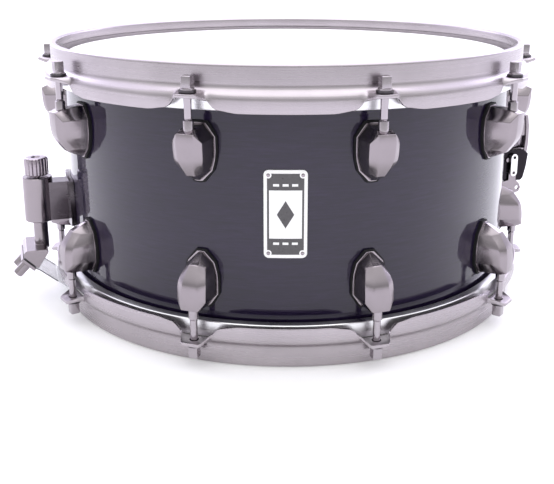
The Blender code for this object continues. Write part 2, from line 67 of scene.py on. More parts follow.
HEIGHT = CAD_BOX[1].z / MM
SHELL_RADIUS = 176.5
SHELL_WALL = 6.0
SHELL_BOTTOM = 10.5
SHELL_TOP = HEIGHT - SHELL_BOTTOM
EDGE_PEAK = 172.6
LUG_COUNT = 10
LUG_FIRST = 18.0
LUG_PITCH = 36.0
ROD_CIRCLE = 193.0
EAR_DEPTH = 17.0
STRAINER_ANGLE = 108.0
BUTT_ANGLE = -72.0
BUTT_AXIS = 201.5
BUTT_ARM_FROM = 190.2
BUTT_CLAMP_OVER, BUTT_CLAMP_UP = 4.0, 3.7
STRAP_HALF_WIDTH = 19.0
STRAP_THICKNESS = 0.5
STRAND_COUNT = 20
STRAND_PITCH = 2.05
STRAND_Z = 8.5
HEAD_COLUMNS = 180
CAMERA_PLACE = (0.0, -0.6938, 0.2643)
CAMERA_DOWN, CAMERA_TURN = 15.33, 0.68
CAMERA_LENS = 55.25415
CAMERA_SHIFT = (0.0019856, -0.1036101)


# Mesh tools --------------------------------------------------------------------------

def to_object(name, verts, faces, materials, smooth=32.0, clean=True, uvs=None):
    mesh = bpy.data.meshes.new(name)
    mesh.from_pydata([Vector(v) * MM for v in verts], [], faces)
    if uvs is not None:
        layer = mesh.uv_layers.new(name="UVMap")
        for loop in mesh.loops:
            layer.data[loop.index].uv = uvs[loop.vertex_index]
    if clean:
        bm = bmesh.new()
        bm.from_mesh(mesh)
        bmesh.ops.remove_doubles(bm, verts=bm.verts, dist=1e-7)
        bmesh.ops.recalc_face_normals(bm, faces=bm.faces)
        bm.to_mesh(mesh)
        bm.free()
    finish_mesh(mesh, smooth)
    for material in materials if isinstance(materials, (list, tuple)) else [materials]:
        mesh.materials.append(material)
    obj = bpy.data.objects.new(name, mesh)
    bpy.context.scene.collection.objects.link(obj)
    return obj


def finish_mesh(mesh, smooth):
    mesh.shade_smooth()
    mesh.set_sharp_from_angle(angle=math.radians(smooth))


def bevel(obj, width, segments=2, angle=20.0, clamp=True):
    modifier = obj.modifiers.new("edges", "BEVEL")
    modifier.width = width * MM
    modifier.segments = segments
    modifier.limit_method = "ANGLE"
    modifier.angle_limit = math.radians(angle)
    modifier.use_clamp_overlap = clamp
    modifier.harden_normals = True
    return obj


def apply_modifiers(obj, smooth=None):
    graph = bpy.context.evaluated_depsgraph_get()
    mesh = bpy.data.meshes.new_from_object(obj.evaluated_get(graph))
    old = obj.data
    obj.modifiers.clear()
    obj.data = mesh
    bpy.data.meshes.remove(old)
    if smooth:
        finish_mesh(mesh, smooth)
    return obj


def cut(obj, tools, smooth=32.0):
    for tool in tools:
        modifier = obj.modifiers.new("cut", "BOOLEAN")
        modifier.operation = "DIFFERENCE"
        modifier.solver = "EXACT"
        modifier.object = tool
    apply_modifiers(obj, smooth)
    for tool in tools:
        mesh = tool.data
        bpy.data.objects.remove(tool)
        bpy.data.meshes.remove(mesh)
    return obj


def join(name, parts, smooth=None):
    """One object from several, each with its own placing and modifiers."""
    bpy.context.view_layer.update()
    graph = bpy.context.evaluated_depsgraph_get()
    verts, faces, index, materials = [], [], [], []
    for part in parts:
        mesh = bpy.data.meshes.new_from_object(part.evaluated_get(graph))
        base = len(verts)
        verts += [part.matrix_world @ v.co for v in mesh.vertices]
        faces += [[base + v for v in p.vertices] for p in mesh.polygons]
        slots = []
        for material in mesh.materials:
            if material not in materials:
                materials.append(material)
            slots.append(materials.index(material))
        index += [slots[p.material_index] if slots else 0 for p in mesh.polygons]
        bpy.data.meshes.remove(mesh)
    for part in parts:
        bpy.data.objects.remove(part)
    mesh = bpy.data.meshes.new(name)
    mesh.from_pydata(verts, [], faces)
    mesh.polygons.foreach_set("material_index", index)
    for material in materials:
        mesh.materials.append(material)
    finish_mesh(mesh, smooth or 32.0)
    obj = bpy.data.objects.new(name, mesh)
    bpy.context.scene.collection.objects.link(obj)
    return obj


def around(angle, radius, z=0.0, side=0.0):
    a = math.radians(angle)
    return (radius * math.sin(a) + side * math.cos(a),
            -radius * math.cos(a) + side * math.sin(a), z)


def place(obj, angle, flip=False, centre=None):
    """Turn an object drawn with +X outward to its angle round the drum."""
    matrix = Matrix.Rotation(math.radians(angle - 90.0), 4, "Z")
    if flip:
        matrix = matrix @ Matrix.Rotation(math.pi, 4, "X")
        matrix = Matrix.Translation((0, 0, HEIGHT * MM)) @ matrix
    if centre:
        matrix = Matrix.Translation(Vector(around(angle, centre)) * MM) @ matrix
    obj.matrix_world = matrix
    return obj


def rounded(points, cuts, steps=4):
    """A closed outline with each corner replaced by a short curve."""
    result = []
    count = len(points)
    for i, (point, size) in enumerate(zip(points, cuts)):
        p, a, b = Vector(point), Vector(points[i - 1]), Vector(points[(i + 1) % count])
        if size <= 0:
            result += [tuple(p)] * (steps + 1)
            continue
        da, db = a - p, b - p
        start = p + da.normalized() * min(size, da.length * 0.48)
        end = p + db.normalized() * min(size, db.length * 0.48)
        for k in range(steps + 1):
            t = k / steps
            result.append(tuple(start * (1 - t) ** 2 + p * (2 * t * (1 - t)) + end * t * t))
    return result


def turned(name, profile_at, angles, material, smooth=32.0):
    verts, faces = [], []
    for angle in angles:
        column = profile_at(angle)
        verts += [around(angle, r, z) for r, z in column]
    count = len(column)
    total = len(angles)
    for i in range(total):
        n = (i + 1) % total
        for j in range(count):
            k = (j + 1) % count
            faces.append([i * count + j, i * count + k, n * count + k, n * count + j])
    return to_object(name, verts, faces, material, smooth)


def lathe(name, profile, sides, material, centre=(0, 0, 0), axis=(0, 0, 1), smooth=32.0, wave=None):
    """Rings of (along, radius) about an axis, capped at both ends."""
    turn = Vector(axis).normalized().to_track_quat("Z", "X").to_matrix()
    verts, faces = [], []
    for row, (along, radius) in enumerate(profile):
        for i in range(sides):
            a = 2 * math.pi * i / sides
            r = radius * (wave(row, a) if wave else 1.0)
            verts.append(Vector(centre) + turn @ Vector((r * math.cos(a), r * math.sin(a), along)))
    for row in range(len(profile) - 1):
        for i in range(sides):
            n = (i + 1) % sides
            a, b = row * sides, (row + 1) * sides
            faces.append([a + i, a + n, b + n, b + i])
    faces.append(list(range(sides))[::-1])
    faces.append([len(verts) - sides + i for i in range(sides)])
    return to_object(name, verts, faces, material, smooth)


def stacked(name, rings, material, smooth=32.0):
    count = len(rings[0])
    verts = [p for ring in rings for p in ring]
    faces = [list(range(count)), list(range(len(verts) - count, len(verts)))]
    for r in range(len(rings) - 1):
        for j in range(count):
            k = (j + 1) % count
            a, b = r * count, (r + 1) * count
            faces.append([a + j, a + k, b + k, b + j])
    return to_object(name, verts, faces, material, smooth)


def plate(name, outline, y0, y1, material, edge=0.3, corner=0.0):
    """An (x, z) outline extruded sideways, with its edges broken."""
    if corner:
        outline = rounded(outline, [corner] * len(outline), 3)
    obj = stacked(name, [[(x, y, z) for x, z in outline] for y in (y0, y1)], material)
    return bevel(obj, edge, 2, 40.0) if edge else obj


def wrapped(name, inner, outer, outline, material, edge=0.0):
    """A plate wrapped on the shell; outline lists (side, low z, high z)."""
    rings = []
    for side, low, high in outline:
        a = side / inner
        rings.append([(r * math.cos(a), r * math.sin(a), z)
                      for r, z in ((inner, low), (outer, low), (outer, high), (inner, high))])
    obj = stacked(name, rings, material)
    return bevel(obj, edge, 2, 40.0) if edge else obj


def corner_columns(half_width, half_height, corner, z, steps=6, middle=6):
    columns = []
    for i in range(steps + 1):
        a = math.pi / 2 * i / steps
        side = -half_width + corner * (1 - math.cos(a))
        rise = half_height - corner * (1 - math.sin(a))
        columns.append((side, z - rise, z + rise))
    flat = half_width - corner
    for i in range(1, middle):
        columns.append((-flat + 2 * flat * i / middle, z - half_height, z + half_height))
    return columns + [(-s, lo, hi) for s, lo, hi in reversed(columns[:steps + 1])]


def strip(name, path, thickness, half_width, material, rows=8, bow=0.0):
    """A flexible strip along an (x, z) path, with rows across its width."""
    fine = []
    for i in range(len(path) - 1):
        p0 = Vector(path[max(i - 1, 0)]); p1 = Vector(path[i])
        p2 = Vector(path[i + 1]); p3 = Vector(path[min(i + 2, len(path) - 1)])
        for k in range(4):
            t = k / 4
            fine.append(0.5 * ((2 * p1) + (p2 - p0) * t + (2 * p0 - 5 * p1 + 4 * p2 - p3) * t * t
                               + (3 * p1 - p0 - 3 * p2 + p3) * t ** 3))
    fine.append(Vector(path[-1]))
    verts, faces = [], []
    ring = 2 * (rows + 1)
    for i, point in enumerate(fine):
        along = (fine[min(i + 1, len(fine) - 1)] - fine[max(i - 1, 0)]).normalized()
        normal = Vector((-along.y, along.x))
        for sign in (1, -1):
            for k in range(rows + 1):
                u = -1 + 2 * k / rows
                if sign < 0:
                    u = -u
                p = point + normal * (sign * thickness / 2 + bow * (1 - u * u))
                verts.append((p.x, half_width * u, p.y))
    for i in range(len(fine) - 1):
        for j in range(ring):
            k = (j + 1) % ring
            faces.append([i * ring + j, i * ring + k, (i + 1) * ring + k, (i + 1) * ring + j])
    faces.append(list(range(ring)))
    faces.append([(len(fine) - 1) * ring + j for j in range(ring)])
    return to_object(name, verts, faces, material, 40.0)


def refined(node, name, material, width=0.35, segments=2):
    """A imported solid's shape with its flat facets merged and its edges broken."""
    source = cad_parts[node]
    bm = bmesh.new()
    bm.from_mesh(source.data)
    bmesh.ops.remove_doubles(bm, verts=bm.verts, dist=2e-6)
    bmesh.ops.dissolve_limit(bm, angle_limit=math.radians(1.0), verts=bm.verts, edges=bm.edges)
    bmesh.ops.recalc_face_normals(bm, faces=bm.faces)
    bm.verts.index_update()
    verts = [v.co / MM for v in bm.verts]
    faces = [[v.index for v in f.verts] for f in bm.faces]
    bm.free()
    obj = to_object(name, verts, faces, material, 32.0)
    return bevel(obj, width, segments, 32.0)


def part_of(obj, body, slot=None, *nodes):
    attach(obj, body)
    if nodes:
        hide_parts(*nodes)
    return obj


# Materials ---------------------------------------------------------------------------

class Finish:
    """A Principled material with a few node helpers."""

    def __init__(self, name, colour, roughness, metallic=0.0, **constants):
        self.material = bpy.data.materials.new(name)
        self.material.use_nodes = True
        self.tree = self.material.node_tree
        self.shader = self.tree.nodes["Principled BSDF"]
        self.put("Base Color", (*colour, 1.0))
        self.put("Roughness", roughness)
        self.put("Metallic", metallic)
        for key, value in constants.items():
            self.put(" ".join(w if w == "IOR" else w.capitalize() for w in key.split("_")), value)
        self.coords = self.node("ShaderNodeTexCoord").outputs["Object"]

    def put(self, socket, value):
        self.shader.inputs[socket].default_value = value

    def link(self, a, b):
        self.tree.links.new(a, b)

    def node(self, kind, **settings):
        node = self.tree.nodes.new(kind)
        for key, value in settings.items():
            setattr(node, key, value)
        return node

    def stretch(self, scale, rotation=(0, 0, 0)):
        mapping = self.node("ShaderNodeMapping")
        mapping.inputs["Scale"].default_value = scale
        mapping.inputs["Rotation"].default_value = rotation
        self.link(self.coords, mapping.inputs["Vector"])
        return mapping.outputs["Vector"]

    def noise(self, scale, detail=3.0, roughness=0.55, vector=None, distortion=0.0):
        noise = self.node("ShaderNodeTexNoise")
        noise.inputs["Scale"].default_value = scale
        noise.inputs["Detail"].default_value = detail
        noise.inputs["Roughness"].default_value = roughness
        noise.inputs["Distortion"].default_value = distortion
        self.link(vector or self.coords, noise.inputs["Vector"])
        return noise.outputs["Fac"]

    def spread(self, value, low, high, at=(0.3, 0.7)):
        node = self.node("ShaderNodeMapRange")
        node.inputs["From Min"].default_value = at[0]
        node.inputs["From Max"].default_value = at[1]
        node.inputs["To Min"].default_value = low
        node.inputs["To Max"].default_value = high
        self.link(value, node.inputs["Value"])
        return node.outputs["Result"]

    def ramp(self, value, stops):
        node = self.node("ShaderNodeValToRGB")
        ramp = node.color_ramp
        while len(ramp.elements) < len(stops):
            ramp.elements.new(0.5)
        for element, (position, colour) in zip(ramp.elements, stops):
            element.position = position
            element.color = (*colour, 1.0)
        self.link(value, node.inputs["Fac"])
        return node.outputs["Color"]

    def multiply(self, a, b, amount=1.0):
        node = self.node("ShaderNodeMix", data_type="RGBA", blend_type="MULTIPLY")
        node.inputs["Factor"].default_value = amount
        self.link(a, node.inputs["A"])
        self.link(b, node.inputs["B"])
        return node.outputs["Result"]

    def bump(self, height, strength, distance=0.0001, socket="Normal"):
        node = self.node("ShaderNodeBump")
        node.inputs["Strength"].default_value = strength
        node.inputs["Distance"].default_value = distance
        self.link(height, node.inputs["Height"])
        self.link(node.outputs["Normal"], self.shader.inputs[socket])

    def colour(self, output):
        self.link(output, self.shader.inputs["Base Color"])

    def rough(self, output):
        self.link(output, self.shader.inputs["Roughness"])


def plated(name, colour, low, high, tint=0.05, streak=None, marks_bump=0.012):
    """Plated metal with faint cloudy colour, smudged gloss and fine polishing marks."""
    f = Finish(name, colour, low, 1.0)
    cloud = f.noise(30.0, 3.0, 0.55)
    dark = tuple(c * (1 - tint) for c in colour)
    light = tuple(min(1.0, c * (1 + tint)) for c in colour)
    f.colour(f.ramp(cloud, [(0.35, dark), (0.65, light)]))
    marks = f.noise(1.0, 2.0, 0.55, f.stretch(streak or (90.0, 90.0, 260.0)))
    f.rough(f.spread(marks, low, high))
    f.bump(marks, marks_bump, 0.00002)
    return f.material


def lacquer():
    """Charcoal stain under clear gloss: horizontal grain, pores and slow colour drift."""
    f = Finish("lacquered_shell", (0.05, 0.045, 0.06), 0.42, 0.0,
               coat_weight=1.0, coat_roughness=0.02, coat_IOR=1.48, specular_IOR_level=0.08)
    grain = f.noise(1.0, 6.0, 0.66, f.stretch((55.0, 55.0, 520.0)), 0.3)
    pores = f.noise(1.0, 2.0, 0.5, f.stretch((60.0, 60.0, 2600.0)))
    figure = f.noise(1.0, 3.0, 0.5, f.stretch((7.0, 7.0, 26.0)), 0.6)
    base = f.ramp(grain, [(0.30, (0.0065, 0.0035, 0.017)), (0.52, (0.011, 0.006, 0.025)),
                          (0.72, (0.017, 0.010, 0.035))])
    drift = f.ramp(figure, [(0.35, (0.86, 0.85, 0.88)), (0.65, (1.0, 1.0, 1.0))])
    fleck = f.ramp(pores, [(0.36, (0.74, 0.72, 0.74)), (0.47, (1.0, 1.0, 1.0))])
    f.colour(f.multiply(f.multiply(base, drift), fleck))
    f.rough(f.spread(grain, 0.34, 0.52))
    f.bump(pores, 0.12, 0.00006)
    return f.material


def bare_ply():
    f = Finish("bare_maple_ply", (0.55, 0.39, 0.24), 0.55, 0.0)
    plies = f.noise(1.0, 3.0, 0.5, f.stretch((18.0, 18.0, 300.0)), 0.3)
    f.colour(f.ramp(plies, [(0.3, (0.44, 0.29, 0.16)), (0.7, (0.62, 0.46, 0.29))]))
    f.rough(f.spread(plies, 0.45, 0.65))
    f.bump(plies, 0.1, 0.0001)
    return f.material


def coated_film():
    f = Finish("coated_film", (0.86, 0.86, 0.85), 0.62, 0.0)
    spray = f.noise(1500.0, 2.0, 0.6)
    wash = f.noise(14.0, 3.0, 0.5)
    f.colour(f.ramp(wash, [(0.3, (0.83, 0.83, 0.825)), (0.7, (0.88, 0.88, 0.87))]))
    f.rough(f.spread(spray, 0.52, 0.72))
    f.bump(spray, 0.18, 0.00008)
    return f.material


def clear_film(name, colour, alpha, roughness):
    f = Finish(name, colour, roughness, 0.0, alpha=alpha)
    haze = f.noise(20.0, 3.0, 0.5)
    f.colour(f.ramp(haze, [(0.3, tuple(c * 0.94 for c in colour)), (0.7, colour)]))
    f.rough(f.spread(haze, roughness * 0.8, roughness * 1.25))
    return f.material


def rubber():
    f = Finish("black_rubber", (0.008, 0.008, 0.009), 0.55, 0.0, specular_IOR_level=0.2)
    skin = f.noise(1200.0, 2.0, 0.5)
    f.colour(f.ramp(skin, [(0.3, (0.006, 0.006, 0.007)), (0.7, (0.011, 0.011, 0.012))]))
    f.rough(f.spread(skin, 0.45, 0.65))
    f.bump(skin, 0.15, 0.00005)
    return f.material


def paint(name, dark, light, roughness):
    f = Finish(name, light, roughness, 0.0, coat_weight=0.4, coat_roughness=0.12)
    speck = f.noise(700.0, 2.0, 0.5)
    f.colour(f.ramp(speck, [(0.3, dark), (0.7, light)]))
    f.rough(f.spread(speck, roughness * 0.85, roughness * 1.15))
    f.bump(speck, 0.05, 0.00003)
    return f.material


LACQUER = lacquer()
PLY = bare_ply()
COATED = coated_film()
CLEAR = clear_film("hazy_film", (0.80, 0.83, 0.86), 0.42, 0.22)
STRAP = clear_film("clear_strap", (0.82, 0.84, 0.87), 0.38, 0.16)
ALUMINIUM = plated("drawn_aluminium", (0.80, 0.80, 0.81), 0.26, 0.40, 0.04, (30.0, 30.0, 2500.0))
HOOP = plated("hoop_plating", (0.425, 0.388, 0.415), 0.24, 0.34, 0.04, (14.0, 14.0, 800.0), 0.04)
NICKEL = plated("lug_plating", (0.30, 0.268, 0.288), 0.17, 0.23, 0.04)
ROD = plated("rod_plating", (0.40, 0.365, 0.395), 0.14, 0.20, 0.04)
# the rod plating darkened to near black: painted shade for the washers in the hoop ears
WASHER_SHADE_PLATING = plated("washer_painted_shade_plating", (0.075, 0.068, 0.075), 0.22, 0.34, 0.06)
# the lug plating darkened: painted shade for the butt housing's arm and plate
PAINTED_SHADE_PLATING = plated("painted_shade_plating", (0.13, 0.115, 0.128), 0.20, 0.28, 0.06)
DARK = plated("dark_plating", (0.024, 0.021, 0.025), 0.20, 0.30, 0.08)
KNURL = plated("knurled_plating", (0.36, 0.32, 0.355), 0.18, 0.26, 0.05)
STEEL = plated("snare_steel", (0.72, 0.71, 0.70), 0.20, 0.34, 0.05)
BRIGHT = plated("bright_steel", (0.82, 0.81, 0.82), 0.12, 0.20, 0.03)
RUBBER = rubber()
WHITE = paint("badge_white", (0.84, 0.84, 0.83), (0.90, 0.90, 0.89), 0.35)
INK = paint("badge_ink", (0.045, 0.042, 0.045), (0.062, 0.058, 0.062), 0.32)


# Shell and heads ---------------------------------------------------------------------

def smoothstep(t):
    t = max(0.0, min(1.0, t))
    return t * t * (3 - 2 * t)


def shell_profile(angle):
    bed = 0.0
    for centre in (BUTT_ANGLE, STRAINER_ANGLE):
        away = abs((angle - centre + 180.0) % 360.0 - 180.0)
        bed = max(bed, 1.6 * smoothstep(1 - away / 15.0))
    inner = SHELL_RADIUS - SHELL_WALL
    drop_in, drop_out = EDGE_PEAK - inner, SHELL_RADIUS - EDGE_PEAK
    points = [(inner, SHELL_TOP - drop_in), (EDGE_PEAK, SHELL_TOP),
              (SHELL_RADIUS, SHELL_TOP - drop_out), (SHELL_RADIUS, SHELL_BOTTOM + drop_out),
              (EDGE_PEAK, SHELL_BOTTOM + bed), (inner, SHELL_BOTTOM + drop_in + bed * 0.5)]
    return rounded(points, [0.3, 0.5, 1.2, 1.2, 0.5, 0.3], 3)


def build_shell():
    shell = turned("shell_wood", shell_profile, list(range(360)), [LACQUER, PLY], 25.0)
    vent = lathe("vent_cutter", [(0, 6.0), (14, 6.0)], 48, LACQUER,
                 (0, SHELL_RADIUS - SHELL_WALL - 4, HEIGHT / 2), (0, 1, 0))
    cut(shell, [vent], 25.0)
    for face in shell.data.polygons:
        c = face.center / MM
        out = math.hypot(c.x, c.y) > SHELL_RADIUS - 0.6 and SHELL_BOTTOM + 3 < c.z < SHELL_TOP - 3
        face.material_index = 0 if out else 1
    part_of(shell, "drum", "shell_lacquer", "shell")
    ring = [(-1.0, 5.9), (1.0, 5.9), (1.55, 6.3), (1.6, 8.0), (1.2, 9.2), (0.05, 9.6), (-1.0, 9.4)]
    verts, faces = [], []
    for i in range(48):
        a = 2 * math.pi * i / 48
        for along, r in ring:
            x = r * math.cos(a)
            y = SHELL_RADIUS + along - x ** 2 / (2 * SHELL_RADIUS)
            verts.append((x, y, HEIGHT / 2 + r * math.sin(a)))
    for i in range(48):
        for j in range(len(ring)):
            here, there, k = i * len(ring), (i + 1) % 48 * len(ring), (j + 1) % len(ring)
            faces.append([here + j, here + k, there + k, there + j])
    part_of(to_object("vent_grommet", verts, faces, NICKEL), "drum")


def build_head(name, node, bottom, material, slot):
    """A film: flat disc, collar over the bearing edge, and a rim tucked in its flesh hoop."""
    low = SHELL_TOP + 0.3
    high = low + 0.5
    outline = [
        (EDGE_PEAK - 1.0, high), (EDGE_PEAK + 0.5, high - 0.05), (174.6, high - 1.0),
        (SHELL_RADIUS + 1.4, low - 3.6),
        (179.9, low - 5.6), (180.95, 181.0), (181.3, 173.8), (180.8, 173.8), (180.4, 180.9),
        (179.3, low - 6.0), (SHELL_RADIUS + 0.9, low - 3.9), (174.2, low - 1.0),
        (EDGE_PEAK + 0.3, low - 0.05), (EDGE_PEAK - 1.0, low),
    ]
    flip = lambda z: HEIGHT - z if bottom else z
    radii = [0.0, 40.0, 90.0, 130.0, 160.0]
    verts, faces = [], []
    count = HEAD_COLUMNS
    column = [(r, high) for r in radii[1:]] + outline + [(r, low) for r in reversed(radii[1:])]
    size = len(column)
    for i in range(count):
        verts += [around(i * 360.0 / count, r, flip(z)) for r, z in column]
    for i in range(count):
        n = (i + 1) % count
        for j in range(size - 1):
            faces.append([i * size + j, i * size + j + 1, n * size + j + 1, n * size + j])
    top, under = len(verts), len(verts) + 1
    verts += [(0, 0, flip(high)), (0, 0, flip(low))]
    for i in range(count):
        n = (i + 1) % count
        faces.append([top, i * size, n * size])
        faces.append([under, n * size + size - 1, i * size + size - 1])
    part_of(to_object(name, verts, faces, material, 40.0), "drum", slot, node)


def build_flesh_hoop(name, node, bottom):
    points = [(178.4, 169.8), (184.3, 169.8), (184.3, 181.0), (182.6, 181.0), (182.0, 172.3),
              (180.1, 172.3), (179.7, 179.8), (178.4, 179.8)]
    cuts = [0.7, 1.4, 0.5, 0.5, 0.4, 0.4, 0.4, 0.4]
    column = [(r, HEIGHT - z if bottom else z) for r, z in rounded(points, cuts, 3)]
    hoop = turned(name, lambda a: column, [i * 1.5 for i in range(240)], ALUMINIUM)
    part_of(hoop, "drum", "hoop_aluminium", node)


# Hoops -------------------------------------------------------------------------------

def ear_shape(angle):
    away = abs((angle - LUG_FIRST + LUG_PITCH / 2) % LUG_PITCH - LUG_PITCH / 2)
    lift = smoothstep((5.2 - away) / 3.5)
    sweep = 0.16 * smoothstep((9.5 - away) / 5.0)
    return lift + (1.0 - lift) * sweep, smoothstep((3.6 - away) / 2.1)


def hoop_profile(angle):
    """(radius, depth) of the rolled sheet: crest, wall, shoulder and skirt, with flat ears."""
    lift, tab = ear_shape(angle)
    sheet = 2.3
    root = Vector((185.0, 14.6))
    knee = Vector((190.5 - 2.4 * lift, 19.0 - 2.0 * lift))
    edge = Vector((190.5 + 10.4 * tab, 29.5 - 12.5 * lift))
    slope, out = (knee - root).normalized(), (edge - knee).normalized()
    wall_side = Vector((-1.0, 0.0))
    slope_side = Vector((-slope.y, slope.x))
    out_side = Vector((-out.y, out.x))

    def mitre(point, a, b):
        return point + (a + b) / (1 + a.dot(b)) * sheet

    points = [(180.5, 8.0), (180.5, 0.0), (185.0, 0.0), tuple(root), tuple(knee), tuple(edge),
              tuple(edge + out_side * sheet), tuple(mitre(knee, slope_side, out_side)),
              tuple(mitre(root, wall_side, slope_side)), (185.0 - sheet, 8.0)]
    cuts = [1.0, 1.7, 1.7, 2.4, 2.8, 0.7, 0.7, 1.6, 1.4, 0.3]
    return rounded(points, cuts, 4)


def build_hoop(name, node, bottom):
    angles = []
    for i in range(LUG_COUNT):
        for k in range(17):
            angles.append(LUG_FIRST + i * LUG_PITCH - 18.0 + k * 0.8)
        for k in range(34):
            angles.append(LUG_FIRST + i * LUG_PITCH - 4.4 + k * 8.8 / 34)
        for k in range(17):
            angles.append(LUG_FIRST + i * LUG_PITCH + 4.4 + k * 0.8)
    hoop = turned(name, lambda a: [(r, d if bottom else HEIGHT - d) for r, d in hoop_profile(a)],
                  angles, HOOP, 40.0)
    tools = []
    for i in range(LUG_COUNT):
        x, y, _ = around(LUG_FIRST + i * LUG_PITCH, ROD_CIRCLE)
        z = EAR_DEPTH - 3 if bottom else HEIGHT - EAR_DEPTH - 6
        tools.append(lathe("ear_cutter", [(0, 3.2), (9, 3.2)], 28, HOOP, (x, y, z)))
    if bottom:
        for angle in (BUTT_ANGLE, STRAINER_ANGLE):
            corners = rounded([(-23, -3), (23, -3), (23, 12.5), (-23, 12.5)], [0, 0, 3.0, 3.0], 6)
            rings = [[(x, y, z) for y, z in corners] for x in (174, 188)]
            gate = stacked("gate_cutter", rings, HOOP)
            tools.append(place(gate, angle))
    cut(hoop, [join("cutters", tools)], 40.0)
    part_of(hoop, "drum", "black_nickel_steel", node)


# Lugs and tension rods -----------------------------------------------------------------

LUG_SECTIONS = [
    ((4.8, 160.8), (5.2, 194.5, 158.8), (5.8, 199.6, 157.4)),
    ((11.2, 152.2), (10.0, 196.0, 151.8), (5.9, 199.6, 150.5)),
    ((11.3, 143.0), (9.9, 195.3, 143.0), (5.3, 199.0, 143.0)),
    ((10.8, 137.5), (9.2, 193.6, 137.5), (4.6, 197.2, 137.5)),
    ((9.0, 130.6), (6.9, 186.8, 130.4), (3.0, 191.2, 129.0)),
    ((1.6, 123.8), (1.4, 180.6, 124.0), (1.0, 180.9, 124.2)),
]


def between(a, b, c, d, t):
    """Catmull-Rom point between b and c."""
    return tuple(0.5 * (2 * q + (r - p) * t + (2 * p - 5 * q + 4 * r - v) * t * t
                        + (3 * q - p - 3 * r + v) * t ** 3) for p, q, r, v in zip(a, b, c, d))


LUG_OUTLINE = [(0.8, 161.1), (4.9, 160.9), (6.6, 159.0), (11.3, 152.4), (11.4, 143.0),
               (10.9, 137.5), (9.1, 130.5), (2.4, 123.6), (0.8, 123.4)]


def wrapped_pad(name, rows, grow, radii, material, edge):
    """A flat pad wrapped on the shell: (half width, height) rows grown outward by `grow`."""
    rings = []
    for half, z in rows:
        z += grow * (1 if z > 155.0 else -1 if z < 125.0 else 0)
        half += grow if half > 1.0 else 0
        ring = []
        for r, sign in ((radii[0], 1), (radii[1], -1)):
            for k in range(9):
                a = sign * half * (-1 + 2 * k / 8) / r
                ring.append((r * math.cos(a), r * math.sin(a), z))
        rings.append(ring)
    return bevel(stacked(name, rings, material), edge, 2, 45.0)


def fold_outward(obj):
    """Split each bent quad along the diagonal that makes a crest, not a valley."""
    bm = bmesh.new()
    bm.from_mesh(obj.data)
    bm.normal_update()
    for face in [f for f in bm.faces if len(f.verts) == 4]:
        a, b, c, d = face.verts
        plane = (b.co - a.co).cross(c.co - a.co).normalized()
        rise = plane.dot(d.co - a.co) * (1 if plane.dot(face.normal) > 0 else -1)
        if abs(rise) > 0.15 * MM:
            bmesh.utils.face_split(face, *((a, c) if rise < 0 else (b, d)))
    bm.to_mesh(obj.data)
    bm.free()
    return obj


def lug_mesh():
    sections = []
    for (base, base_z), (side, side_x, side_z), (front, front_x, front_z) in LUG_SECTIONS:
        sections.append([(SHELL_RADIUS + 0.4, base, base_z), (side_x, side, side_z),
                         (front_x, front, front_z)])
    halves = [sections[0]]
    for i in range(1, len(sections) - 2):
        before, after = sections[max(i - 1, 1)], sections[min(i + 2, len(sections) - 2)]
        for k in range(6):
            halves.append([between(before[j], sections[i][j], sections[i + 1][j], after[j], k / 6)
                           for j in range(3)])
    halves += sections[-2:]
    rings = [half + [(x, -y, z) for x, y, z in reversed(half)] for half in halves]
    lug = fold_outward(stacked("lug_casting", rings, NICKEL))
    pocket = lathe("pocket", [(0, 3.55), (14, 3.55)], 40, NICKEL, (ROD_CIRCLE, 0, 153.0))
    bevel(lug, 0.45, 3, 20.0)
    apply_modifiers(lug)
    cut(lug, [pocket], 24.0)
    radii = (SHELL_RADIUS + 1.7, SHELL_RADIUS + 2.5)
    flange = wrapped_pad("lug_flange", LUG_OUTLINE, 0.2, radii, NICKEL, 0.25)
    return join("lug_casting", [lug, flange])


def gasket_mesh():
    radii = (SHELL_RADIUS + 0.03, SHELL_RADIUS + 1.8)
    return wrapped_pad("lug_gasket", LUG_OUTLINE, 1.3, radii, RUBBER, 0.3)


def nut_mesh():
    profile = [(0, 3.4), (13.6, 3.4), (14.0, 3.25), (14.15, 2.95), (14.15, 2.7), (4.0, 2.7),
               (4.0, 2.0), (0.0, 2.0)]
    return lathe("swivel_nut", profile, 36, ROD, (ROD_CIRCLE, 0, 150.8))


def inner_screws_mesh():
    parts = []
    inner = SHELL_RADIUS - SHELL_WALL
    for z in (152.0, 130.0):
        # the thin black square on each screw head is painted shade for its cross recess
        for name, profile, sides, material in (
                ("washer", [(-0.4, 5.6), (0.9, 5.6), (1.1, 5.3)], 28, BRIGHT),
                ("head", [(1.1, 3.9), (3.3, 3.9), (3.9, 3.3)], 28, BRIGHT),
                ("cross", [(3.88, 1.7), (4.0, 1.7)], 4, RUBBER)):
            parts.append(lathe(name, profile, sides, material, (inner, 0, z), (-1, 0, 0)))
    return join("lug_screws", parts)


def rod_mesh():
    seat = HEIGHT - EAR_DEPTH + 0.3
    shaft = [(138.0, 1.8), (138.6, 2.35)]
    z = 139.0
    while z < 166.0:
        shaft += [(z, 2.5), (z + 0.35, 2.2)]
        z += 0.8
    shaft += [(z, 2.5), (seat + 0.4, 2.5)]
    parts = [lathe("shaft", shaft, 24, ROD, smooth=60.0),
             # the washer's near-black plating is painted shade under the hoop ear
             lathe("washer", [(seat, 5.35), (seat + 0.2, 5.5), (seat + 1.25, 5.5),
                              (seat + 1.5, 5.3), (seat + 1.5, 2.4)], 40, WASHER_SHADE_PLATING),
             lathe("collar", [(seat + 1.5, 4.3), (seat + 1.6, 4.5), (seat + 2.1, 4.5),
                              (seat + 2.5, 4.35), (seat + 2.9, 3.7)], 40, ROD)]
    half = 3.175
    outline = rounded([(half, half), (-half, half), (-half, -half), (half, -half)], [0.7] * 4, 4)
    rings = [[(x * s, y * s, z) for x, y in outline]
             for z, s in ((seat + 1.8, 1.0), (191.7, 1.0), (192.2, 0.95), (192.5, 0.84))]
    parts.append(stacked("square", rings, ROD))
    return join("key_rod", parts)


